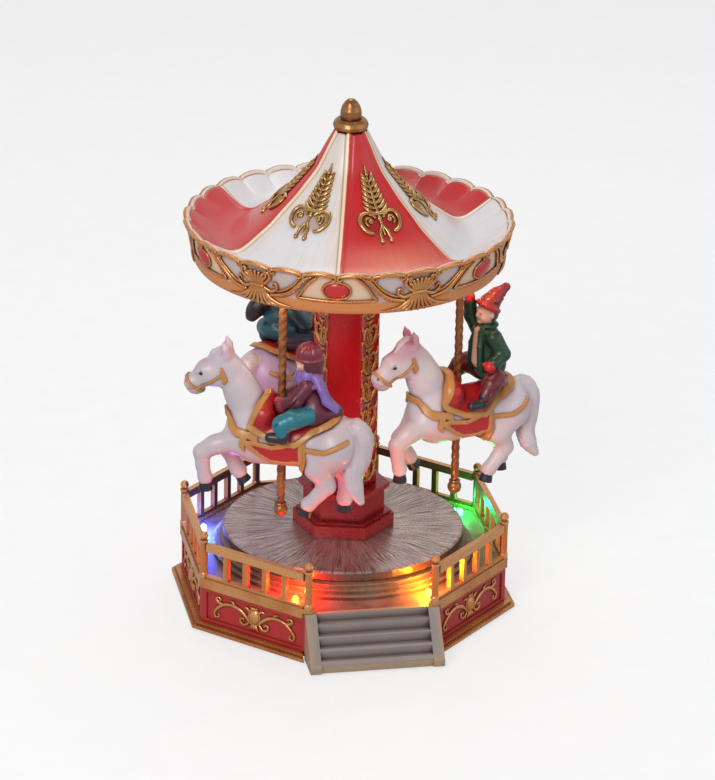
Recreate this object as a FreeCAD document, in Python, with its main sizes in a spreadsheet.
# Tabletop battery carousel: an octagonal base with fence and stairs, and one
# turning assembly (deck, column, canopy, three horses and their riders).
# Millimetres, +Z up, origin on the turning axis at the underside of the feet,
# stairs towards -Y.
import FreeCAD, Part
import Sketcher
import math
import os
from FreeCAD import Placement, Rotation, Vector

doc = FreeCAD.newDocument("carousel")
sheet = doc.addObject("Spreadsheet::Sheet", "Dims")


# ========================= driving dimensions =================================
class Size:
    """A spreadsheet expression together with its present value."""

    def __init__(self, text, value):
        self.text, self.value = text, float(value)

    def __add__(self, other):
        return Size("(%s + %s)" % (self.text, text_of(other)), self.value + float(other))

    def __sub__(self, other):
        return Size("(%s - %s)" % (self.text, text_of(other)), self.value - float(other))

    def __mul__(self, other):
        return Size("(%s * %s)" % (self.text, text_of(other)), self.value * float(other))

    def __neg__(self):
        return Size("(0 - %s)" % self.text, -self.value)

    def __float__(self):
        return self.value


def text_of(item):
    return item.text if isinstance(item, Size) else repr(float(item))


aliases = []


def dim(name, value):
    """One driving dimension: name in column A, number in column B."""
    aliases.append(name)
    row = len(aliases)
    sheet.set("A%d" % row, name)
    sheet.set("B%d" % row, str(value))
    sheet.setAlias("B%d" % row, name)
    return Size("Dims.%s" % name, value)


# --- base -------------------------------------------------------------------
foot_gap = dim("foot_gap", 1.0)            # plinth clear of the table
plinth_apothem = dim("plinth_apothem", 81.3)
plinth_top = dim("plinth_top", 4.0)
wall_apothem = dim("wall_apothem", 75.0)
wall_thick = dim("wall_thick", 2.2)
floor_z = dim("floor_z", 25.0)             # upper side of the floor
floor_thick = dim("floor_thick", 2.5)
panel_thick = dim("panel_thick", 0.8)
frame_thick = dim("frame_thick", 1.5)
panel_low = dim("panel_low", 4.0)
panel_high = dim("panel_high", 22.0)
rail_apothem = dim("rail_apothem", 77.3)
rail_inner = dim("rail_inner", 73.0)
rail_top = dim("rail_top", 27.3)
fence_apothem = dim("fence_apothem", 75.2)
fence_half = dim("fence_half", 28.9)
fence_low = dim("fence_low", 41.5)
fence_high = dim("fence_high", 45.5)
post_radius = dim("post_radius", 2.2)
post_ring = dim("post_ring", 81.4)
post_high = dim("post_high", 51.5)
stair_half = dim("stair_half", 33.0)
stair_cheek = dim("stair_cheek", 5.5)
stair_reach = dim("stair_reach", 94.5)
cover_thick = dim("cover_thick", 1.6)
cover_apothem = dim("cover_apothem", 72.6)
foot_radius = dim("foot_radius", 5.0)
boss_radius = dim("boss_radius", 4.0)
boss_x = dim("boss_x", 62.0)
boss_y = dim("boss_y", 20.0)
# --- turning assembly ---------------------------------------------------------
deck_radius = dim("deck_radius", 60.0)
deck_low = dim("deck_low", 33.0)
deck_top = dim("deck_top", 37.5)
spindle_radius = dim("spindle_radius", 4.0)
run_gap = dim("run_gap", 0.05)
pedestal_low_r = dim("pedestal_low_r", 25.2)
pedestal_mid_z = dim("pedestal_mid_z", 45.5)
pedestal_up_r = dim("pedestal_up_r", 20.2)
pedestal_top_z = dim("pedestal_top_z", 57.0)
cornice_r = dim("cornice_r", 22.7)
cornice_z = dim("cornice_z", 60.6)
column_r = dim("column_r", 16.0)
ceiling_z = dim("ceiling_z", 180.0)
fascia_low = dim("fascia_low", 178.0)
fascia_r = dim("fascia_r", 74.5)
fascia_high = dim("fascia_high", 199.0)
fascia_top_r = dim("fascia_top_r", 79.3)
fascia_thick = dim("fascia_thick", 1.8)
roof_top = dim("roof_top", 244.5)
relief = dim("relief", 1.4)
collar_r = dim("collar_r", 8.6)
collar_top = dim("collar_top", 250.0)
finial_top = dim("finial_top", 260.0)
pole_radius = dim("pole_radius", 2.0)
pole_ring = dim("pole_ring", 55.0)
pole_ball = dim("pole_ball", 3.5)
barrel_r = dim("barrel_r", 12.5)           # horse's barrel
barrel_z = dim("barrel_z", 100.5)
saddle_thick = dim("saddle_thick", 2.5)
# --- drive --------------------------------------------------------------------
gear_module = dim("gear_module", 0.8)
gear_teeth = dim("gear_teeth", 56)
pinion_teeth = dim("pinion_teeth", 16)
gear_low = dim("gear_low", 16.5)
gear_thick = dim("gear_thick", 4.0)
cell_radius = dim("cell_radius", 7.1)
doc.recompute()

# --- derived from the sheet ---------------------------------------------------
floor_under = floor_z - floor_thick
cover_low = foot_gap + 0.6
cover_top = cover_low + cover_thick
side_half = wall_apothem * 0.41421356      # half a wall side: tan(22.5 deg)
gear_spacing = gear_module * (gear_teeth + pinion_teeth) * 0.5

# --- shared numbers -----------------------------------------------------------
BASE_SIDES = 8
SIDE_STEP = 45.0                           # degrees from one base side to the next
CLOSED_SIDES = 7                           # every side but the one at the stairs
CLOSED_SPAN = 270.0                        # degrees from the first closed side to the last
COLUMN_SIDES = 6
COS30 = math.cos(math.radians(30))         # apothem over corner radius of a hexagon
TURN = -15.0                               # how far the turning assembly stands turned
CORNERS = [(sign_x, sign_y) for sign_x in (1, -1) for sign_y in (1, -1)]
ALONG_X = Rotation(Vector(0, 1, 0), 90)
TOWARDS_MINUS_Y = Rotation(Vector(1, 0, 0), 90)
PLATE_CUT = 10.0                           # pocket from the table up through a low plate


# ============================ helpers =========================================
parts = []


def keep(obj, label, turn=0.0, at=Vector(0, 0, 0)):
    """Name a piece and place it; turn is degrees about the carousel axis."""
    obj.Label = label
    obj.Placement = Placement(at, Rotation(Vector(0, 0, 1), turn))
    parts.append(obj)


def bind(obj, prop, size):
    if isinstance(size, Size):
        obj.setExpression(prop, size.text)
    else:
        setattr(obj, prop, size)


def at_bearing(bearing, radius, z=0.0):
    """Point at a bearing in degrees from -Y towards +X."""
    angle = math.radians(bearing - 90.0)
    return Vector(radius * math.cos(angle), radius * math.sin(angle), z)


# --- document objects outside bodies --------------------------------------------
def primitive(kind, name, at=Vector(0, 0, 0), rotation=Rotation(), **sizes):
    made = doc.addObject("Part::" + kind, name)
    for prop, size in sizes.items():
        bind(made, prop, size)
    made.Placement = Placement(at, rotation)
    return made


def drive_place(obj, *spot):
    """Hold the object's x, y and z by expressions."""
    for axis, size in zip("xyz", spot):
        obj.setExpression("Placement.Base.%s" % axis, text_of(size))


def boolean(kind, name, base, tool):
    made = doc.addObject("Part::" + kind, name)
    made.Base, made.Tool = base, tool
    return made


def compound(name, links):
    made = doc.addObject("Part::Compound", name)
    made.Links = links
    return made


def feature(name, shape):
    made = doc.addObject("Part::Feature", name)
    made.Shape = shape
    return made


# --- bodies and sketches ----------------------------------------------------------
def new_body(name):
    made = doc.addObject("PartDesign::Body", name)
    made.AllowCompound = True
    return made


def origin_item(body, role):
    return [item for item in body.Origin.OriginFeatures if item.Role == role][0]


def new_sketch(body, plane, away=0.0, across=None):
    """A sketch on one of the body's own planes, moved along its normal by away
    and along its own x by across."""
    sketch = body.newObject("Sketcher::SketchObject", "Sketch")
    sketch.AttachmentSupport = [(origin_item(body, plane), "")]
    sketch.MapMode = "FlatFace"
    sketch.setExpression("AttachmentOffset.Base.z", text_of(away))
    if across is not None:
        sketch.setExpression("AttachmentOffset.Base.x", text_of(across))
    return sketch


def constrain(sketch, rule, size):
    """Add a dimensional constraint and drive it where size is an expression."""
    held = sketch.addConstraint(rule)
    if isinstance(size, Size):
        sketch.setExpression("Constraints[%d]" % held, size.text)


def hold_point(sketch, geometry, point, x, y):
    """Hold a point from the sketch origin, or on an axis where it lies on one."""
    for kind, size, axis in (("DistanceX", x, -2), ("DistanceY", y, -1)):
        if abs(float(size)) < 1e-9:
            sketch.addConstraint(Sketcher.Constraint("PointOnObject", geometry, point, axis))
        else:
            rule = Sketcher.Constraint(kind, -1, 1, geometry, point, float(size))
            constrain(sketch, rule, size)


def closed_lines(sketch, corners):
    """Line loop through the corners; returns its first index and its joints."""
    count = len(corners)
    first = sketch.GeometryCount
    for i in range(count):
        sketch.addGeometry(Part.LineSegment(corners[i], corners[(i + 1) % count]), False)
    joints = [Sketcher.Constraint("Coincident", first + i, 2, first + (i + 1) % count, 1)
              for i in range(count)]
    return first, joints


def profile(sketch, points):
    """Closed outline; every corner is held from the sketch origin."""
    first, joints = closed_lines(sketch, [Vector(float(x), float(y), 0) for x, y in points])
    sketch.addConstraint(joints)
    for i, (x, y) in enumerate(points):
        hold_point(sketch, first + i, 1, x, y)


def box(sketch, x0, x1, y0, y1):
    profile(sketch, [(x0, y0), (x1, y0), (x1, y1), (x0, y1)])


def ngon(sketch, count, apothem):
    """Regular polygon about the origin with one flat towards -y."""
    outer = float(apothem) / math.cos(math.pi / count)
    turns = [math.radians(-90 - 180.0 / count + 360.0 / count * i) for i in range(count)]
    first, rules = closed_lines(
        sketch, [Vector(outer * math.cos(turn), outer * math.sin(turn), 0) for turn in turns])
    ring = sketch.addGeometry(Part.Circle(Vector(0, 0, 0), Vector(0, 0, 1), outer), True)
    rules.append(Sketcher.Constraint("Coincident", ring, 3, -1, 1))
    rules += [Sketcher.Constraint("PointOnObject", first + i, 1, ring) for i in range(count)]
    rules += [Sketcher.Constraint("Equal", first, first + i) for i in range(1, count)]
    rules.append(Sketcher.Constraint("Horizontal", first))
    sketch.addConstraint(rules)
    held = sketch.addConstraint(Sketcher.Constraint("Radius", ring, outer))
    sketch.setExpression("Constraints[%d]" % held,
                         "%s / cos(%s deg)" % (text_of(apothem), repr(180.0 / count)))


def circle(sketch, x, y, radius):
    centre = Vector(float(x), float(y), 0)
    made = sketch.addGeometry(Part.Circle(centre, Vector(0, 0, 1), float(radius)), False)
    hold_point(sketch, made, 3, x, y)
    constrain(sketch, Sketcher.Constraint("Radius", made, float(radius)), radius)


def corner_circles(sketch, x, y, radius):
    for sign_x, sign_y in CORNERS:
        circle(sketch, x * sign_x, y * sign_y, radius)


# --- body features --------------------------------------------------------------
def pad(body, sketch, length, name="Pad"):
    made = body.newObject("PartDesign::Pad", name)
    made.Profile = sketch
    bind(made, "Length", length)
    return made


def pocket(body, sketch, length, name="Pocket"):
    """Removes material on the +normal side of the sketch."""
    made = body.newObject("PartDesign::Pocket", name)
    made.Profile = sketch
    made.Reversed = 1
    bind(made, "Length", length)
    return made


def on_level(operation, draw, body, low, shape, length, *name):
    """Draw a shape at height low and pad or pocket it upwards by length."""
    sketch = new_sketch(body, "XY_Plane", low)
    draw(sketch, *shape)
    return operation(body, sketch, length, *name)


def pad_ngon(body, low, count, apothem, length):
    return on_level(pad, ngon, body, low, (count, apothem), length)


def cut_ngon(body, low, count, apothem, length):
    return on_level(pocket, ngon, body, low, (count, apothem), length)


def pad_box(body, low, bounds, length, *name):
    """bounds: x0, x1, y0, y1."""
    return on_level(pad, box, body, low, bounds, length, *name)


def cut_box(body, low, bounds, length, *name):
    return on_level(pocket, box, body, low, bounds, length, *name)


def cut_round(body, low, spot, radius, length, *name):
    return on_level(pocket, circle, body, low, (*spot, radius), length, *name)


def revolve(body, points, across=None):
    """Turn an outline (radius, z) about the vertical line at x = across."""
    sketch = new_sketch(body, "XZ_Plane", 0.0, across)
    profile(sketch, points)
    made = body.newObject("PartDesign::Revolution", "Revolution")
    made.Profile = sketch
    made.ReferenceAxis = (sketch, ["V_Axis"])
    made.Angle = 360
    return made


def turned(name, points):
    """Body made by one outline (radius, z) turned about the carousel axis."""
    body = new_body(name)
    revolve(body, points)
    return body


def polar(body, features, count, angle=360.0):
    doc.recompute()
    made = body.newObject("PartDesign::PolarPattern", "PolarPattern")
    made.Originals = features
    made.Axis = (origin_item(body, "Z_Axis"), [""])
    made.Angle = angle
    made.Occurrences = count
    body.Tip = made


def round_closed_sides(body, features):
    """Repeat on seven sides; the body is then placed turned by SIDE_STEP."""
    polar(body, features, CLOSED_SIDES, CLOSED_SPAN)


# ============================== base ==========================================
# Octagonal tub, open below, with a floor, four screw bosses and the bush bore.
screw_radius = 1.2
boss_hole_depth = 9.0
bush_radius = 7.0
AXIS = (0, 0)

shell = new_body("BaseShell")
pad_ngon(shell, foot_gap, BASE_SIDES, wall_apothem, floor_z - foot_gap)
cut_ngon(shell, foot_gap, BASE_SIDES, wall_apothem - wall_thick, floor_under - foot_gap)
on_level(pad, corner_circles, shell, cover_top, (boss_x, boss_y, boss_radius),
         floor_under - cover_top)
on_level(pocket, corner_circles, shell, cover_top, (boss_x, boss_y, screw_radius),
         boss_hole_depth, "ScrewHoles")
cut_round(shell, floor_under - 1, AXIS, bush_radius, floor_thick + 2, "BushBore")
keep(shell, "base_shell")

# Stepped moulding round the foot of the wall, left open where the stairs stand.
plinth_step = 1.6
plinth_inset = 1.8
plinth_gap_half = stair_half + 0.9

plinth = new_body("Plinth")
pad_ngon(plinth, foot_gap, BASE_SIDES, plinth_apothem, plinth_step)
pad_ngon(plinth, foot_gap + plinth_step, BASE_SIDES, plinth_apothem - plinth_inset,
         plinth_top - foot_gap - plinth_step)
cut_ngon(plinth, 0.0, BASE_SIDES, wall_apothem, PLATE_CUT)
cut_box(plinth, 0.0, (-plinth_gap_half, plinth_gap_half, -100.0, -(wall_apothem - 2)),
        PLATE_CUT, "StairGap")
keep(plinth, "plinth_moulding")

# Seven recessed side panels, each filling the window of its frame.
window_half = side_half - 2.6
window_low = panel_low + 2
window_high = panel_high - 2

panels = new_body("SidePanels")
panel = pad_box(panels, window_low,
                (-window_half, window_half, -(wall_apothem + panel_thick), -wall_apothem),
                window_high - window_low)
round_closed_sides(panels, [panel])
keep(panels, "side_panels", SIDE_STEP)

# Seven gold panel frames, a window each.
frame_front_half = side_half + 0.6
frame_front_y = -(wall_apothem + frame_thick)

frames = new_body("PanelFrames")
sketch = new_sketch(frames, "XY_Plane", panel_low)
profile(sketch, [(-side_half, -wall_apothem), (-frame_front_half, frame_front_y),
                 (frame_front_half, frame_front_y), (side_half, -wall_apothem)])
blank = pad(frames, sketch, panel_high - panel_low)
sketch = new_sketch(frames, "XZ_Plane", 50.0)
box(sketch, -window_half, window_half, window_low, window_high)
window = pocket(frames, sketch, 60.0, "Window")
round_closed_sides(frames, [blank, window])
keep(frames, "side_panel_frames", SIDE_STEP)

# Gold band that caps the wall and carries the fence.
seat_low = panel_high - 1
seat_depth = floor_z - seat_low
opening_half = 28.4
stair_seat_half = 40.0
rail_cut = 20.0

rail = new_body("BaseRail")
pad_ngon(rail, panel_high, BASE_SIDES, rail_apothem, rail_top - panel_high)
cut_ngon(rail, seat_low, BASE_SIDES, wall_apothem, seat_depth)
cut_ngon(rail, panel_high, BASE_SIDES, rail_inner, rail_cut)
cut_box(rail, seat_low, (-opening_half, opening_half, -90.0, -60.0), rail_cut, "Opening")
cut_box(rail, seat_low, (-stair_seat_half, stair_seat_half, -90.0, -wall_apothem),
        seat_depth, "StairSeat")
keep(rail, "fence_base_rail")

# Seven fence panels: top rail, foot rail and four balusters each.
top_rail_half = 1.5                        # half thickness
baluster_half = 1.2                        # half thickness, also of the foot rail
baluster_half_width = 1.4
baluster_pitch = fence_half * 0.4
foot_rail_height = 1.4


def fence_bounds(x0, x1, half_thick):
    return x0, x1, -(fence_apothem + half_thick), -(fence_apothem - half_thick)


fence = new_body("Fence")
top_rail = pad_box(fence, fence_low, fence_bounds(-fence_half, fence_half, top_rail_half),
                   fence_high - fence_low)
sketch = new_sketch(fence, "XY_Plane", rail_top)
for k in (-1.5, -0.5, 0.5, 1.5):
    centre = baluster_pitch * k
    box(sketch, *fence_bounds(centre - baluster_half_width, centre + baluster_half_width,
                              baluster_half))
balusters = pad(fence, sketch, fence_low - rail_top)
foot_rail = pad_box(fence, rail_top, fence_bounds(-fence_half, fence_half, baluster_half),
                    foot_rail_height)
round_closed_sides(fence, [top_rail, balusters, foot_rail])
keep(fence, "fence_panels", SIDE_STEP)

# Eight turned corner posts with ball tops. Outline: radius, z.
posts = new_body("Posts")
post = revolve(posts, [
    (0, rail_top), (post_radius, rail_top), (post_radius, rail_top + 2.0),
    (post_radius - 0.35, rail_top + 2.6), (post_radius - 0.35, fence_high),
    (post_radius, fence_high + 0.5), (post_radius, fence_high + 1.4),
    (post_radius - 1.0, fence_high + 1.9), (post_radius - 0.3, fence_high + 2.7),
    (post_radius, fence_high + 3.7), (post_radius - 0.3, post_high - 1.2),
    (post_radius - 1.1, post_high - 0.3), (0, post_high)], post_ring)
polar(posts, [post], BASE_SIDES)
keep(posts, "corner_posts", SIDE_STEP / 2)

# Stairs: cheeks either side of four treads.
tread_count = 4
landing = wall_apothem + 2.6               # distance of the top edge from the axis
first_riser = stair_reach - 1.0
tread_run = (stair_reach - landing) * (1.0 / tread_count)
tread_rise = 4.75
tread_half = stair_half - stair_cheek
cut_away_y, cut_away_z = -120.0, 60.0      # clear of the stairs, outside and above

stairs = new_body("Stairs")
sketch = new_sketch(stairs, "YZ_Plane", -stair_half)
profile(sketch, [(-stair_reach, foot_gap), (-wall_apothem, foot_gap), (-wall_apothem, floor_z),
                 (-landing, floor_z), (-(stair_reach - 0.8), foot_gap + 4.0),
                 (-stair_reach, foot_gap + 3.2)])
pad(stairs, sketch, stair_half * 2)
steps = [(cut_away_y, foot_gap), (-first_riser, foot_gap)]
for k in range(tread_count):
    tread_z = foot_gap + 1.0 + tread_rise * (k + 1)
    steps.append((-(first_riser - tread_run * k), tread_z))
    steps.append((-(first_riser - tread_run * (k + 1)), tread_z))
steps += [(-(first_riser - tread_run * tread_count), cut_away_z), (cut_away_y, cut_away_z)]
sketch = new_sketch(stairs, "YZ_Plane", -tread_half)
profile(sketch, steps)
pocket(stairs, sketch, tread_half * 2, "Treads")
sketch = new_sketch(stairs, "XY_Plane", foot_gap - 1)
for x0, x1 in ((30.9, 40.0), (-40.0, -30.9)):
    box(sketch, x0, x1, -76.8, -70.0)
pocket(stairs, sketch, panel_high - foot_gap + 1, "FrameRelief")
keep(stairs, "entry_stairs")

# Fixed stepped surround below the deck. Outline: radius, z.
surround_inner = 34.0
keep(turned("Ring", [
    (surround_inner, floor_z), (65.5, floor_z), (65.5, floor_z + 2.0), (63.5, floor_z + 2.3),
    (63.5, floor_z + 4.5), (61.5, floor_z + 4.8), (61.5, floor_z + 6.5),
    (surround_inner, floor_z + 6.5)]), "stepped_surround")

# Bottom cover with battery opening, switch slot and screw holes.
hinge_y = -26.0
hinge_z = cover_low + 0.8
pin_radius = 0.5
pin_bore_start, pin_bore_length = -25.0, 50.0
hinge_notches = (-22.0, 14.0)              # low x of each notch
switch_slot = (31.3, 36.7, 28.7, 31.3)     # x0, x1, y0, y1

cover = new_body("Cover")
pad_ngon(cover, cover_low, BASE_SIDES, cover_apothem, cover_thick)
cut_box(cover, 0.0, (-29.0, 29.0, -70.2, -27.3), PLATE_CUT, "BatteryOpening")
for notch_x in hinge_notches:
    cut_box(cover, 0.0, (notch_x, notch_x + 8.0, -28.0, -24.6), PLATE_CUT, "HingeNotch")
cut_box(cover, 0.0, switch_slot, PLATE_CUT, "SwitchSlot")
on_level(pocket, corner_circles, cover, 0.0, (boss_x, boss_y, 1.6), PLATE_CUT, "ScrewHoles")
sketch = new_sketch(cover, "YZ_Plane", pin_bore_start)
circle(sketch, hinge_y, hinge_z, pin_radius)
pocket(cover, sketch, pin_bore_length, "PinBore")
keep(cover, "bottom_cover")

# Rubber feet under the cover: four out by the corners, one under the spindle.
foot_x, foot_y = 42.0, 50.0
feet = new_body("Feet")
sketch = new_sketch(feet, "XY_Plane", 0.0)
circle(sketch, 0.0, 0.0, foot_radius)
corner_circles(sketch, foot_x, foot_y, foot_radius)
pad(feet, sketch, cover_low)
keep(feet, "rubber_feet")

# Four self-tapping screws: slotted head below the cover, shank in the boss.
head_radius, head_height = 2.3, 1.0
slot_length, slot_width, slot_depth = 3.2, 0.6, 0.5
head_low = cover_low - head_height
screws = []
for i, (sign_x, sign_y) in enumerate(CORNERS):
    screw_x, screw_y = boss_x * sign_x, boss_y * sign_y
    shank = primitive("Cylinder", "Shank%d" % i, Radius=screw_radius, Height=8.5)
    drive_place(shank, screw_x, screw_y, cover_low)
    head = primitive("Cylinder", "ScrewHead%d" % i, Radius=head_radius, Height=head_height)
    drive_place(head, screw_x, screw_y, head_low)
    slot = primitive("Box", "ScrewSlot%d" % i,
                     Length=slot_length, Width=slot_width, Height=slot_depth)
    drive_place(slot, screw_x - slot_length / 2, screw_y - slot_width / 2, head_low)
    screw = boolean("Fuse", "Screw%d" % i, shank, head)
    screws.append(boolean("Cut", "CutScrew%d" % i, screw, slot))
keep(compound("Screws", screws), "cover_screws")

# ========================= battery compartment ================================
# Battery tray, open below.
tray = new_body("Tray")
pad_box(tray, cover_top, (-31.0, 31.0, -71.5, -25.4), 17.0)
cut_box(tray, cover_top - 1, (-29.6, 29.6, -70.4, -26.4), 16.6)
# Room for the hinge barrels.
cut_box(tray, cover_top - 1, (-22.5, 22.5, -27.5, -24.9), 1.65, "BarrelRelief")
keep(tray, "battery_box")

# Three cylindrical cells lying along X, nubs towards +X.
cell_rows = (-33.8, -48.4, -63.0)          # y of each cell
cell_z = 11.1
cell_start, cell_length = -24.9, 49.0
nub_radius, nub_length = 2.7, 1.2
cells = []
for i, y in enumerate(cell_rows):
    can = primitive("Cylinder", "Cell%d" % i, Vector(cell_start, y, cell_z), ALONG_X,
                    Radius=cell_radius, Height=cell_length)
    nub = primitive("Cylinder", "Nub%d" % i, Vector(cell_start + cell_length, y, cell_z),
                    ALONG_X, Radius=nub_radius, Height=nub_length)
    cells.append(boolean("Fuse", "CellAndNub%d" % i, can, nub))
keep(compound("Cells", cells), "batteries")

# Contact springs (one coil per cell) and two end plates per cell.
coil_start = -28.6
coil_radius, coil_pitch, coil_length = 3.0, 1.05, 3.2
wire_radius = 0.3
plate_half = 4.5
coils = []
for i, y in enumerate(cell_rows):
    helix = primitive("Helix", "Helix%d" % i, Vector(coil_start, y, cell_z), ALONG_X,
                      Pitch=coil_pitch, Height=coil_length, Radius=coil_radius, Angle=0.0)
    wire = primitive("Circle", "Wire%d" % i, Vector(coil_start, y, cell_z - coil_radius),
                     TOWARDS_MINUS_Y, Radius=wire_radius)
    coil = doc.addObject("Part::Sweep", "Coil%d" % i)
    coil.Sections = [wire]
    coil.Spine = (helix, [])
    coil.Solid = True
    coil.Frenet = True
    coils.append(coil)

contacts = new_body("Contacts")
sketch = new_sketch(contacts, "XY_Plane", 6.0)
for y in cell_rows:
    box(sketch, 25.4, 29.5, y - plate_half, y + plate_half)
    box(sketch, -29.5, -29.0, y - plate_half, y + plate_half)
pad(contacts, sketch, 10.0)
keep(compound("ContactSet", [contacts] + coils), "battery_contacts")

# Hinged battery door with two barrels; the pin is fixed in the cover.
door_barrel_radius = 1.05
door_barrel_length = 7.4
grip_count, grip_pitch, grip_width = 5, 2.2, 1.0
grip_start = -67.0

door = new_body("Door")
pad_box(door, cover_low, (-28.7, 28.7, -69.9, -27.6), cover_thick - 0.1)
for notch_x in hinge_notches:
    barrel_x = notch_x + 0.3
    sketch = new_sketch(door, "YZ_Plane", barrel_x)
    circle(sketch, hinge_y, hinge_z, door_barrel_radius)
    pad(door, sketch, door_barrel_length)
    # Web from the barrel to the door's edge.
    sketch = new_sketch(door, "YZ_Plane", barrel_x)
    box(sketch, -28.6, -26.4, cover_low + 0.1, cover_low + 1.5)
    pad(door, sketch, door_barrel_length)
sketch = new_sketch(door, "YZ_Plane", pin_bore_start)
circle(sketch, hinge_y, hinge_z, run_gap + pin_radius)
pocket(door, sketch, pin_bore_length, "PinBore")
for k in range(grip_count):
    groove_y = grip_start + grip_pitch * k
    cut_box(door, 0.0, (-9.0, 9.0, groove_y, groove_y + grip_width), cover_low + 0.4, "Grip")
keep(door, "battery_door")

pin_half_length = 24.8
pin = new_body("HingePin")
sketch = new_sketch(pin, "YZ_Plane", -pin_half_length)
circle(sketch, hinge_y, hinge_z, pin_radius)
pad(pin, sketch, pin_half_length * 2)
keep(pin, "door_hinge_pin")

# ========================= switch and drive ===================================
# Slide switch: body above the cover, knob through the slot.
switch = new_body("Switch")
pad_box(switch, cover_top, (27.5, 40.5, 26.0, 34.0), 5.5)
cut_box(switch, cover_top, switch_slot, 3.8, "KnobWay")
keep(switch, "switch_body")

knob = new_body("Knob")
pad_box(knob, foot_gap, (31.5, 33.5, 28.9, 31.1), 5.5)
cut_box(knob, foot_gap, (32.2, 32.8, 28.0, 32.0), 0.5, "Grip")
keep(knob, "switch_knob")

# Bush with a flange on the floor, and a washer the hub runs on. Outlines: radius, z.
bush_low = floor_z - 3.5
flange_radius = 11.0
flange_top = floor_z + 1.5
washer_top = floor_z + 2.0
washer_inner, washer_outer = spindle_radius + 0.1, 9.0
bush_inner = spindle_radius + run_gap
keep(turned("Bush", [
    (bush_inner, bush_low), (bush_radius, bush_low), (bush_radius, floor_z),
    (flange_radius, floor_z), (flange_radius, flange_top), (bush_inner, flange_top)]),
     "spindle_bush")
keep(turned("Washer", [
    (washer_inner, flange_top), (washer_outer, flange_top), (washer_outer, washer_top),
    (washer_inner, washer_top)]), "thrust_washer")

# Gearbox hung from the floor, with the motor on its +Y side.
case_low, case_height = 8.0, 7.8
case_top = case_low + case_height
case_end_y = 52.0
motor_shaft_radius = 1.0

gearbox = new_body("Gearbox")
pad_box(gearbox, case_low, (-13.0, 13.0, 22.5, case_end_y), case_height)
cut_round(gearbox, 12.0, (0, gear_spacing), run_gap + motor_shaft_radius, 10.0, "ShaftBore")
pad_box(gearbox, case_top, (-11.0, 11.0, 40.0, 46.0), floor_under - case_top, "Mount")
keep(gearbox, "gearbox_case")

motor_length, motor_boss_length = 18.0, 1.5
motor_z = 11.0
motor_end_y = case_end_y + motor_length
can = primitive("Cylinder", "MotorCan", Vector(0, motor_end_y, motor_z), TOWARDS_MINUS_Y,
                Radius=6.0, Height=motor_length)
end_boss = primitive("Cylinder", "MotorBoss",
                     Vector(0, motor_end_y + motor_boss_length, motor_z), TOWARDS_MINUS_Y,
                     Radius=2.0, Height=motor_boss_length)
keep(boolean("Fuse", "Motor", can, end_boss), "drive_motor")

# Control board on two standoffs, with its parts.
board_low, board_thick = 6.0, 1.6
board_top = board_low + board_thick

board = new_body("Board")
pad_box(board, board_low, (-56.0, -24.0, -14.0, 14.0), board_thick)
sketch = new_sketch(board, "XY_Plane", board_top)
box(sketch, -50.0, -42.0, -5.0, 5.0)
for y in (8.0, -8.0):
    circle(sketch, -34.0, y, 2.5)
pad(board, sketch, 4.0)
sketch = new_sketch(board, "XY_Plane", cover_top)
for y in (10.0, -10.0):
    circle(sketch, -52.0, y, 2.0)
pad(board, sketch, -cover_top + board_low, "Standoffs")
keep(board, "control_board")

# Two brushes that feed the slip ring, mirrored in y. Outline in plan: x, y.
brush_outline = [(-27.0, 3.0), (-26.4, 3.0), (-26.4, 3.6), (-7.2, 3.6), (-7.2, 4.0),
                 (-27.0, 4.0)]
brushes = new_body("Brushes")
sketch = new_sketch(brushes, "XY_Plane", board_top)
for side in (1, -1):
    profile(sketch, [(x, side * y) for x, y in brush_outline])
pad(brushes, sketch, 6.0)
keep(brushes, "contact_brushes")

# Two leads from the battery tray to the board.
lead_radius = 0.6
lead_solids = []
for i, y in enumerate((-18.0, -21.5)):
    route = [Vector(-31.6, y - 8.0, 9.0), Vector(-40.0, y - 3.0, 10.5),
             Vector(-44.0, y + 1.0, 10.0), Vector(-46.0 - i, -14.8 - i, 9.0)]
    curve = Part.BSplineCurve()
    curve.interpolate(route)
    path = Part.Wire([curve.toShape()])
    start = curve.tangent(curve.FirstParameter)[0]
    section = Part.Wire([Part.Circle(route[0], start, lead_radius).toShape()])
    lead_solids.append(path.makePipeShell([section], True, True))
keep(feature("Leads", Part.makeCompound(lead_solids)), "battery_leads")


# ============================== lamps =========================================
def lamps(name, bearings, ring_radius, mount_z, up=1):
    """Domes on short collars, standing on mount_z or, with up = -1, hanging from it."""
    radius, collar_height = 1.5, 2.0
    made = []
    for i, bearing in enumerate(bearings):
        dome_at = at_bearing(bearing, ring_radius, mount_z + collar_height * up)
        stem_z = mount_z if up > 0 else mount_z - collar_height
        stem = primitive("Cylinder", "%sStem%d" % (name, i), Vector(dome_at.x, dome_at.y, stem_z),
                         Radius=radius, Height=collar_height)
        dome = primitive("Sphere", "%sDome%d" % (name, i), dome_at, Radius=radius)
        made.append(boolean("Fuse", "%s%d" % (name, i), stem, dome))
    return made[0] if len(made) == 1 else compound(name, made)


# Corner lamps on the floor, one colour to a node: colour, bearing.
for colour, bearing in (("Red", -29.5), ("Amber", 25.0), ("Green", 112.5), ("Blue", -112.5)):
    keep(lamps("Lamp" + colour, [bearing], 71.5, float(floor_z)),
         "corner_lamp_" + colour.lower())

# ====================== turning assembly ======================================
CENTRED_BEARINGS = [60.0 * k for k in range(COLUMN_SIDES)]
BETWEEN_BEARINGS = [30.0 + bearing for bearing in CENTRED_BEARINGS]

spindle_low = 7.0
keep(turned("Spindle", [
    (0, spindle_low), (spindle_radius - 0.6, spindle_low), (spindle_radius, spindle_low + 0.6),
    (spindle_radius, pedestal_top_z), (0, pedestal_top_z)]), "spindle")


def closed_face(points):
    return Part.Face(Part.makePolygon(points + points[:1]))


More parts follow.
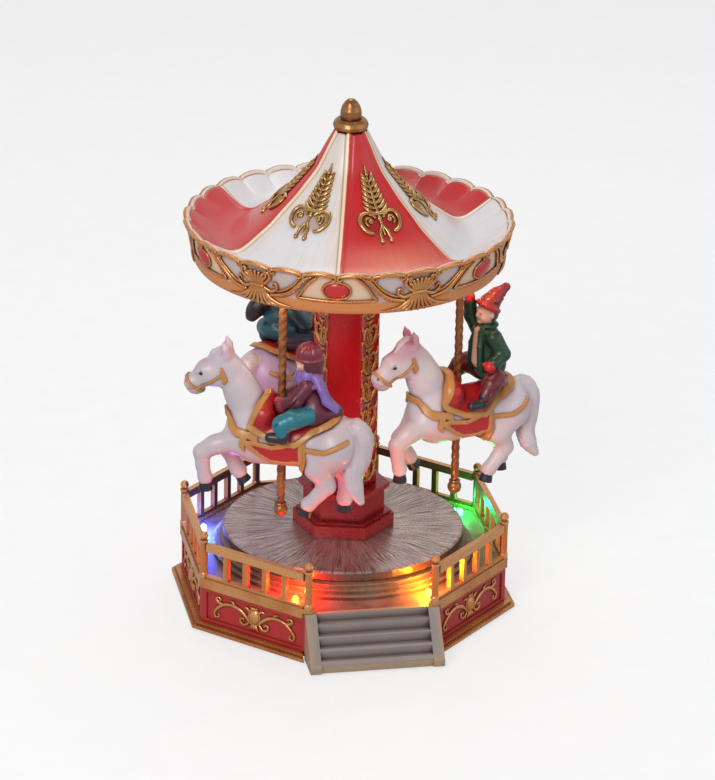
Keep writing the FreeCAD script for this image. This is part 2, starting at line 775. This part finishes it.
def gear_solid(teeth, low, thick, phase, bore=0.0):
    """Involute spur gear; phase is the bearing of the first tooth in degrees from +X."""
    pressure_angle = math.radians(20)
    addendum, dedendum = 0.85, 1.15        # in modules
    thinning = 0.12                        # off the tooth width, for backlash
    flank_steps = 6
    module = float(gear_module)
    pitch_radius = module * teeth / 2.0
    base = pitch_radius * math.cos(pressure_angle)
    outer = pitch_radius + module * addendum
    root = pitch_radius - module * dedendum

    def involute(angle):
        return math.tan(angle) - angle

    half = math.pi / (2 * teeth) - thinning / (2 * pitch_radius) + involute(pressure_angle)
    start = max(base, root)
    flank = []                             # radius, angle off the tooth's middle
    for i in range(flank_steps + 1):
        radius = start + (outer - start) * i / flank_steps
        flank.append((radius, half - involute(math.acos(min(1.0, base / radius)))))
    if root < base:
        flank.insert(0, (root, flank[0][1]))
    both_flanks = ([(radius, -angle) for radius, angle in flank]
                   + [(radius, angle) for radius, angle in reversed(flank)])
    outline = []
    for k in range(teeth):
        middle = 2 * math.pi * k / teeth + math.radians(phase)
        outline += [Vector(radius * math.cos(middle + angle), radius * math.sin(middle + angle),
                           low) for radius, angle in both_flanks]
    solid = closed_face(outline).extrude(Vector(0, 0, thick))
    if bore:
        solid = solid.cut(Part.makeCylinder(bore, thick + 2, Vector(0, 0, low - 1)))
    return solid


# Drive gear with six lightening holes; a tooth points to the pinion at +Y.
hole_radius, hole_ring = 4.2, 13.5
wheel = gear_solid(int(float(gear_teeth)), float(gear_low), float(gear_thick), 90 - TURN,
                   float(spindle_radius))
for k in range(6):
    angle = math.radians(60 * k)
    hole_at = Vector(hole_ring * math.cos(angle), hole_ring * math.sin(angle), 12)
    wheel = wheel.cut(Part.makeCylinder(hole_radius, 10, hole_at))
keep(feature("DriveGear", wheel), "drive_gear", TURN)

# Motor pinion on its shaft; a tooth gap points to the gear at -Y.
pinion_overhang = 0.4                      # past the gear, above and below
pinion_count = int(float(pinion_teeth))
cog = gear_solid(pinion_count, float(gear_low) - pinion_overhang,
                 float(gear_thick) + 2 * pinion_overhang, -90 + 180.0 / pinion_count)
cog = cog.fuse(Part.makeCylinder(motor_shaft_radius, 6.0, Vector(0, 0, 12.2)))
keep(feature("MotorPinion", cog.removeSplitter()), "motor_pinion",
     at=Vector(0, float(gear_spacing), 0))

clip_radius = 6.2
clip_low = gear_low - 0.9
keep(turned("Clip", [(spindle_radius, clip_low), (clip_radius, clip_low),
                     (clip_radius, gear_low), (spindle_radius, gear_low)]), "gear_clip", TURN)

# Slip ring with two grooves. Outline: radius, z.
ring_radius, groove_radius = 7.1, 6.5
keep(turned("Slip", [
    (spindle_radius, 8.0), (ring_radius, 8.0),
    (ring_radius, 8.8), (groove_radius, 8.8), (groove_radius, 10.2), (ring_radius, 10.2),
    (ring_radius, 11.0), (groove_radius, 11.0), (groove_radius, 12.4), (ring_radius, 12.4),
    (ring_radius, 13.2), (spindle_radius, 13.2)]), "slip_ring", TURN)

# Deck disc with a hub that carries the whole turning assembly. Outline: radius, z.
hub_radius = 10.0
keep(turned("Deck", [
    (spindle_radius, washer_top), (hub_radius, washer_top), (hub_radius, deck_low),
    (deck_radius - 0.5, deck_low), (deck_radius, deck_low + 0.5),
    (deck_radius, deck_top - 0.8), (deck_radius - 0.8, deck_top), (spindle_radius, deck_top)]),
     "turntable_deck", TURN)

# Six-sided pedestal in two tiers with a small step between them.
pedestal_step = 1.2
pedestal_inset = 1.4
pedestal_flat = pedestal_low_r * COS30
pedestal = new_body("Pedestal")
pad_ngon(pedestal, deck_top, COLUMN_SIDES, pedestal_flat,
         pedestal_mid_z - deck_top - pedestal_step)
pad_ngon(pedestal, pedestal_mid_z - pedestal_step, COLUMN_SIDES,
         pedestal_flat - pedestal_inset, pedestal_step)
pad_ngon(pedestal, pedestal_mid_z, COLUMN_SIDES, pedestal_up_r * COS30,
         pedestal_top_z - pedestal_mid_z)
cut_round(pedestal, deck_top - 1, AXIS, spindle_radius, pedestal_top_z - deck_top + 2)
keep(pedestal, "column_pedestal", TURN)

cornice_step = 1.2
cornice_inset = 1.0
cornice_flat = cornice_r * COS30
cornice = new_body("Cornice")
pad_ngon(cornice, pedestal_top_z, COLUMN_SIDES, cornice_flat - cornice_inset, cornice_step)
pad_ngon(cornice, pedestal_top_z + cornice_step, COLUMN_SIDES, cornice_flat,
         cornice_z - pedestal_top_z - cornice_step)
keep(cornice, "pedestal_cornice", TURN)

# Six-sided column with hollowed faces.
column_bore = 8.0
flute_radius, flute_offset = 35.0, 34.2    # offset of the flute's centre from the face
column_flat = column_r * COS30
column_cut = ceiling_z - cornice_z + 2
column = new_body("Column")
pad_ngon(column, cornice_z, COLUMN_SIDES, column_flat, ceiling_z - cornice_z)
flute = cut_round(column, cornice_z - 1, (0, -(column_flat + flute_offset)), flute_radius,
                  column_cut, "Flute")
polar(column, [flute], COLUMN_SIDES)
cut_round(column, cornice_z - 1, AXIS, column_bore, column_cut, "Hollow")
keep(column, "column_shaft", TURN)


# --- ornament helpers -----------------------------------------------------------
def bar_outline(points, width):
    """Outline of a bar along a polyline in a plane, narrower at its two ends."""
    left, right = [], []
    last = len(points) - 1
    for i, (x, y) in enumerate(points):
        x0, y0 = points[max(i - 1, 0)]
        x1, y1 = points[min(i + 1, last)]
        size = math.hypot(x1 - x0, y1 - y0)
        half = width * (0.5 if 0 < i < last else 0.3)
        off_x, off_y = -(y1 - y0) / size * half, (x1 - x0) / size * half
        left.append((x + off_x, y + off_y))
        right.append((x - off_x, y - off_y))
    return left + right[::-1]


def ribbon(points, width, start, thick):
    """Bar along (x, z) points, from y = -start towards -Y."""
    outline = [Vector(x, -start, z) for x, z in bar_outline(points, width)]
    return closed_face(outline).extrude(Vector(0, -thick, 0))


def plan_ribbon(points, width):
    """Bar along (x, distance towards -Y) points in plan, as a tall prism."""
    outline = [Vector(x, -away, 180.0) for x, away in bar_outline(points, width)]
    return closed_face(outline).extrude(Vector(0, 0, 70.0))


def round_plug(z, half_width, half_height, start, thick):
    """Elliptic plug centred on x = 0, from y = -start towards -Y."""
    edge = Part.Ellipse(Vector(0, 0, 0), max(half_width, half_height),
                        min(half_width, half_height)).toShape()
    face = Part.Face(Part.Wire([edge]))
    if half_height > half_width:
        face.rotate(Vector(0, 0, 0), Vector(0, 0, 1), 90)
    face.rotate(Vector(0, 0, 0), Vector(1, 0, 0), 90)
    face.translate(Vector(0, -start, z))
    return face.extrude(Vector(0, -thick, 0))


def arc(centre_x, centre_y, radius, start, end):
    """Ten points along an arc; angles in degrees."""
    steps = 9
    angles = [math.radians(start + (end - start) * i / steps) for i in range(steps + 1)]
    return [(centre_x + radius * math.cos(angle), centre_y + radius * math.sin(angle))
            for angle in angles]


def mirrored(points, side):
    return [(side * x, y) for x, y in points]


def spin(shape, angle):
    made = shape.copy()
    made.rotate(Vector(0, 0, 0), Vector(0, 0, 1), angle)
    return made


def fused(shapes):
    return shapes[0].multiFuse(shapes[1:]).removeSplitter()


def full_ring(points):
    """Solid ring from a closed (radius, z) outline."""
    outline = [Vector(float(radius), 0, float(z)) for radius, z in points]
    return closed_face(outline).revolve(Vector(0, 0, 0), Vector(0, 0, 1), 360)


# --- scrollwork -----------------------------------------------------------------
# Vine scrolls on three of the column's faces: a waving bar with side curls.
vine_sway, vine_waves, vine_steps = 3.0, 3.5, 56
vine_curls = 7
vine_thick = 1.3
vine_margin = 3
vine_start = float(column_flat) - 0.36
vine_low = float(cornice_z) + vine_margin
vine_span = float(ceiling_z) - vine_margin - vine_low
stem = [(vine_sway * math.sin(2 * math.pi * vine_waves * i / vine_steps),
         vine_low + vine_span * i / vine_steps) for i in range(vine_steps + 1)]
pieces = [ribbon(stem, 1.6, vine_start, vine_thick)]
for k in range(vine_curls):
    curl_z = vine_low + vine_span * (k + 0.5) / vine_curls + 2.5
    side = 1 if k % 2 == 0 else -1
    curl = mirrored(arc(1.6, curl_z, 3.0, 200, -60), side)
    pieces.append(ribbon(curl, 1.3, vine_start, vine_thick))
vine = fused(pieces)
keep(feature("Vines", Part.makeCompound([spin(vine, 60 + 120 * k) for k in range(3)])),
     "column_scrolls", TURN)

# Side panel ornament: shell cartouche with scrolls to each side. Points: x, z.
long_scroll = [(2.4, 10.6), (5.5, 12.8), (9.0, 15.6), (13.0, 16.6), (17.0, 15.4),
               (20.5, 12.4), (22.6, 9.2), (24.8, 8.6), (25.6, 10.6), (24.2, 12.2)]
side_leaf = [(10.5, 16.0), (8.5, 14.2), (9.0, 12.4)]
panel_face = float(wall_apothem) + float(panel_thick)
scroll_thick = 0.9
pieces = [round_plug(14.0, 3.4, 5.0, panel_face, 1.0),
          round_plug(8.2, 1.6, 1.8, panel_face, scroll_thick)]
for side in (1, -1):
    for points, width in ((long_scroll, 1.5), (arc(10.6, 12.0, 2.4, 100, -170), 1.3),
                          (side_leaf, 1.2)):
        pieces.append(ribbon(mirrored(points, side), width, panel_face, scroll_thick))
one_side = fused(pieces)
keep(feature("SideScrolls", Part.makeCompound(
    [spin(one_side, SIDE_STEP * k) for k in range(CLOSED_SIDES)])), "side_scrollwork", SIDE_STEP)

# ============================== canopy ========================================
fascia_inner = fascia_r - fascia_thick
ceiling_top = ceiling_z + 2.0
keep(turned("Ceiling", [(column_bore, ceiling_z), (fascia_inner, ceiling_z),
                        (fascia_inner, ceiling_top), (column_bore, ceiling_top)]),
     "canopy_ceiling", TURN)
keep(lamps("CanopyLamp", BETWEEN_BEARINGS, 66.0, float(ceiling_z), -1), "canopy_lamps", TURN)

# Deep fascia ring round the canopy. Points: radius, z; fascia_face is the part
# of its outer face that carries the relief.
fascia_face = [(fascia_r + 0.7, fascia_low + 6.0), (fascia_r + 2.4, fascia_low + 13.0),
               (fascia_top_r, fascia_high)]
keep(turned("Fascia", [
    (fascia_inner, fascia_low), (fascia_r - 0.4, fascia_low),
    (fascia_r + 0.6, fascia_low + 1.5), (fascia_r + 0.9, fascia_low + 5.0)]
    + fascia_face + [
    (fascia_top_r - fascia_thick, fascia_high),
    (fascia_r + 2.4 - fascia_thick, fascia_low + 13.0),
    (fascia_r + 0.2 - fascia_thick, fascia_low + 6.0)]), "fascia_ring", TURN)

# Upper line of the roof: radius, z.
roof_line = [(7.8, 244.5), (12.0, 237.0), (17.3, 227.4), (23.5, 220.0), (29.3, 213.7),
             (36.0, 207.5), (42.0, 201.7), (49.0, 196.5), (54.5, 192.4), (59.0, 189.6),
             (64.0, 190.4), (70.5, 194.2), (76.4, 198.1)]
roof_drop = 2.2                            # vertical thickness
keep(turned("Roof", roof_line
            + [(radius, z - roof_drop) for radius, z in reversed(roof_line[1:])]
            + [(5.0, 241.5), (5.0, roof_top)]), "canopy_roof", TURN)

# Relief on the fascia: tools from y = -60 towards -Y, trimmed to a skin on its face.
fascia_skin = full_ring(fascia_face
                        + [(radius + relief, z) for radius, z in reversed(fascia_face)])
tool_start, tool_length = 60.0, 30.0


def on_fascia(tool, angles):
    return Part.makeCompound([spin(tool, angle).common(fascia_skin) for angle in angles])


medallion = round_plug(191.0, 9.5, 6.2, tool_start, tool_length)
keep(feature("Medallions", on_fascia(medallion, CENTRED_BEARINGS)), "fascia_medallions", TURN)

# Shells: a fan of seven ribs with a scroll to each side. Points: x, z.
fan_z, fan_radius = 185.2, 9.0
shell_scroll = [(3.0, 186.0), (8.5, 187.5), (13.5, 191.5), (16.5, 195.5), (18.0, 193.0),
                (16.0, 190.5)]
pieces = []
for k in range(-3, 4):
    angle = math.radians(90 + k * 24)
    rib_x = fan_radius * math.cos(angle)
    rib = [(0, fan_z), (rib_x * 0.62, fan_z + 4.5 * math.sin(angle)),
           (rib_x, fan_z + 10.5 * math.sin(angle))]
    pieces.append(ribbon(rib, 2.4, tool_start, tool_length))
for side in (1, -1):
    pieces.append(ribbon(mirrored(shell_scroll, side), 2.0, tool_start, tool_length))
keep(feature("Shells", on_fascia(fused(pieces), BETWEEN_BEARINGS)), "fascia_shells", TURN)

# Emblems on the roof panels: a feather leaf with paired scrolls at its outer end.
# Points in plan: x, distance from the axis.
emblem_height = 1.6
emblem_line = roof_line[1:9]
roof_skin = full_ring([(radius, z + emblem_height) for radius, z in emblem_line]
                      + emblem_line[::-1])
pieces = [plan_ribbon([(0, 18.0), (0, 26.0), (0, 40.0)], 1.2)]
for k in range(5):
    barb = 20.0 + 2.7 * k
    barb_x = 2.2 + 0.55 * k
    for side in (1, -1):
        pieces.append(plan_ribbon([(0, barb + 1.6), (side * barb_x * 0.6, barb + 0.2),
                                   (side * barb_x, barb - 1.6)], 1.5))
for side in (1, -1):
    for points, width in ((arc(4.6, 38.6, 3.2, 200, -80), 1.5),
                          ([(0, 40.0), (3.0, 43.4), (6.2, 42.6), (7.6, 39.0)], 1.4),
                          ([(3.0, 43.0), (3.4, 46.5)], 1.6)):
        pieces.append(plan_ribbon(mirrored(points, side), width))
leaf = fused(pieces)
keep(feature("Emblems", Part.makeCompound(
    [spin(leaf, bearing).common(roof_skin) for bearing in BETWEEN_BEARINGS])),
     "roof_emblems", TURN)

# Collar and finial on the top. Outlines: radius, z.
keep(turned("Collar", [
    (0, roof_top), (collar_r - 1.6, roof_top), (collar_r - 0.4, roof_top + 1.0),
    (collar_r, roof_top + 2.6), (collar_r - 0.6, collar_top - 1.2),
    (collar_r - 2.0, collar_top), (0, collar_top)]), "finial_collar", TURN)
keep(turned("Finial", [
    (0, collar_top), (4.9, collar_top), (5.2, collar_top + 2.0), (5.0, collar_top + 4.2),
    (4.3, collar_top + 6.4), (3.2, collar_top + 8.2), (1.8, finial_top - 0.5),
    (0, finial_top)]), "finial", TURN)

# ============================ horses and riders ===============================
# Each is modelled facing +X, with its pole on the Z axis and its left at +Y.
belly_r, belly_z = float(barrel_r), float(barrel_z)
saddle_r = belly_r + float(saddle_thick)
rod_r = float(pole_radius)
belly_back, belly_front = -26.0, 14.0

# Chains of stations: x, y, z, radius.
horse_chains = [
    # chest and rump
    [(belly_front, 0, belly_z, belly_r), (18.0, 0, 106.5, 10.5)],
    [(belly_back, 0, belly_z, belly_r), (-25.0, 0, 103.5, 10.8)],
    # neck and head
    [(17.5, 0, 112.0, 9.5), (22.0, 0, 126.0, 7.2), (26.0, 0, 137.5, 6.2)],
    [(27.5, 0, 138.5, 6.4), (36.0, 0, 133.5, 5.3), (43.5, 0, 126.6, 3.9)],
    # ears
    [(25.5, 3.6, 142.5, 2.2), (27.6, 4.2, 149.6, 0.6)],
    [(25.5, -3.6, 142.5, 2.2), (27.6, -4.2, 149.6, 0.6)],
    # forelegs, left and right
    [(20.0, 6.5, 101.0, 6.5), (37.0, 7.5, 94.0, 4.0), (40.0, 7.5, 83.0, 2.9),
     (38.0, 7.5, 73.0, 3.6)],
    [(20.0, -6.5, 100.0, 6.2), (29.5, -7.5, 89.5, 3.9), (22.5, -7.5, 79.5, 2.8),
     (20.5, -7.5, 76.0, 3.5)],
    # hind legs, left and right
    [(-27.0, 5.5, 100.0, 8.5), (-20.0, 6.5, 88.0, 5.5), (-19.0, 6.5, 76.0, 3.3),
     (-13.0, 6.5, 64.5, 3.6)],
    [(-28.0, -5.5, 99.0, 8.3), (-30.0, -6.5, 86.0, 5.2), (-30.5, -6.5, 76.0, 3.2),
     (-30.0, -6.5, 64.5, 3.6)],
    # tail
    [(-34.0, 0, 109.0, 4.0), (-40.0, 0, 108.0, 4.5), (-42.0, 0, 97.0, 4.4),
     (-41.5, 0, 88.0, 3.4), (-43.0, 0, 78.5, 1.6)],
]


def limb(chain):
    """Tapered limb through (x, y, z, radius) stations: spheres and frusta."""
    made = [Part.makeSphere(radius, Vector(x, y, z)) for x, y, z, radius in chain]
    for (x0, y0, z0, radius0), (x1, y1, z1, radius1) in zip(chain, chain[1:]):
        start = Vector(x0, y0, z0)
        way = Vector(x1 - x0, y1 - y0, z1 - z0)
        if abs(radius0 - radius1) < 1e-6:
            made.append(Part.makeCylinder(radius0, way.Length, start, way))
        else:
            made.append(Part.makeCone(radius0, radius1, way.Length, start, way))
    return made


def lying(radius, x, length, z=belly_z):
    """Cylinder along +X from x."""
    return Part.makeCylinder(radius, length, Vector(x, 0, z), Vector(1, 0, 0))


def pole_hole(radius):
    return Part.makeCylinder(radius, 120.0, Vector(0, 0, 60.0))


def horse_solid():
    pieces = [lying(belly_r, belly_back, belly_front - belly_back)]
    for chain in horse_chains:
        pieces += limb(chain)
    return pieces[0].multiFuse(pieces[1:]).cut(pole_hole(rod_r))


def sleeve(x, length, lift, lower_edge):
    """Sleeve over the horse's back; lower_edge is measured from the belly's axis."""
    block = 30.0
    made = lying(saddle_r, x, length, belly_z + lift)
    made = made.cut(lying(belly_r, -40.0, 60.0))
    return made.cut(Part.makeBox(60.0, 60.0, block,
                                 Vector(-40.0, -30.0, belly_z + lower_edge - block)))


def saddle_solid(horse):
    """Saddle and blanket with a raised cantle at the back, clear of pole and horse."""
    blanket = sleeve(belly_back, 38.0, 0.0, -6.5)
    cantle = sleeve(-27.5, 4.0, 2.0, 3.0)
    made = blanket.fuse(cantle).removeSplitter()
    return made.cut(pole_hole(rod_r)).cut(horse)


def rider_solid(hat_tip, arm_raised):
    """Seated child; hat_tip is (x, z) or None, arm_raised lifts the right arm."""
    seat = saddle_r + belly_z
    saddle_gap, pole_gap = 0.06, 0.05
    hat_x, hat_z = -14.0, 150.0
    pieces = limb([(-15.0, 0, seat + 5.0, 6.8), (-13.5, 0, seat + 16.0, 6.0)])
    pieces.append(Part.makeCylinder(3.0, 16.0, Vector(-13.0, 0, seat + 16.0)))
    pieces.append(Part.makeSphere(6.4, Vector(-12.5, 0, 147.0)))
    if hat_tip:
        way = Vector(hat_tip[0] - hat_x, 0, hat_tip[1] - hat_z)
        pieces.append(Part.makeCone(6.0, 1.8, way.Length, Vector(hat_x, 0, hat_z), way))
    for side in (1, -1):
        pieces += limb([(-14.0, side * 5.5, seat + 3.0, 4.6), (-3.0, side * 16.0, 113.5, 3.8),
                        (-1.0, side * 18.4, 104.5, 2.9), (2.5, side * 18.4, 103.0, 2.4)])
        shoulder = (-13.2, side * 7.4, 129.4, 3.4)
        if arm_raised and side < 0:
            pieces += limb([shoulder, (-8.0, side * 9.5, 144.0, 2.8),
                            (-5.5, side * 9.0, 158.5, 2.6)])
        else:
            pieces += limb([shoulder, (-7.0, side * 8.6, 124.0, 2.8),
                            (0.5, side * 4.6, 121.5, 2.4)])
    made = pieces[0].multiFuse(pieces[1:])
    made = made.cut(lying(saddle_r + saddle_gap, -32.0, 52.0))
    made = made.cut(pole_hole(rod_r + pole_gap))
    return max(made.Solids, key=lambda solid: solid.Volume)


# name, bearing of the pole (deg from -Y towards +X), heading (deg from +X), lift,
# z of the ball at the pole's foot, hat tip (x, z), right arm raised
mounts = [("front", -45.0, 159.0, 0.0, 64.4, None, False),
          ("right", 75.0, 198.0, -2.4, 59.8, (-27.0, 160.0), True),
          ("rear", -165.0, 40.8, 3.0, 67.0, None, False)]
horse = horse_solid()
saddle = saddle_solid(horse)
poles = []
for name, bearing, heading, lift, ball_z, hat_tip, arm_raised in mounts:
    spot = at_bearing(bearing, float(pole_ring))
    ball_at = spot + Vector(0, 0, ball_z)
    rod = primitive("Cylinder", "Rod_" + name, ball_at,
                    Radius=pole_radius, Height=ceiling_z - ball_z)
    ball = primitive("Sphere", "RodBall_" + name, ball_at, Radius=pole_ball)
    poles.append(boolean("Fuse", "Pole_" + name, rod, ball))
    rider = rider_solid(hat_tip, arm_raised)
    for kind, shape in (("horse", horse), ("saddle", saddle), ("rider", rider)):
        label = "%s_%s" % (name, kind)
        keep(feature(label, shape), label, heading, spot + Vector(0, 0, lift))
keep(compound("Poles", poles), "horse_poles")

# ============================== output ========================================
doc.recompute()
for item in doc.Objects:
    if "Invalid" in item.State or "Error" in item.State:
        raise SystemExit("failed: %s (%s)" % (item.Name, item.Label))
for item in parts:
    if item.Shape.isNull() or not item.Shape.isValid() or not item.Shape.Solids:
        raise SystemExit("bad shape: %s" % item.Label)

os.makedirs("parts", exist_ok=True)
for item in parts:
    item.Shape.exportStep("parts/%s.step" % item.Label)
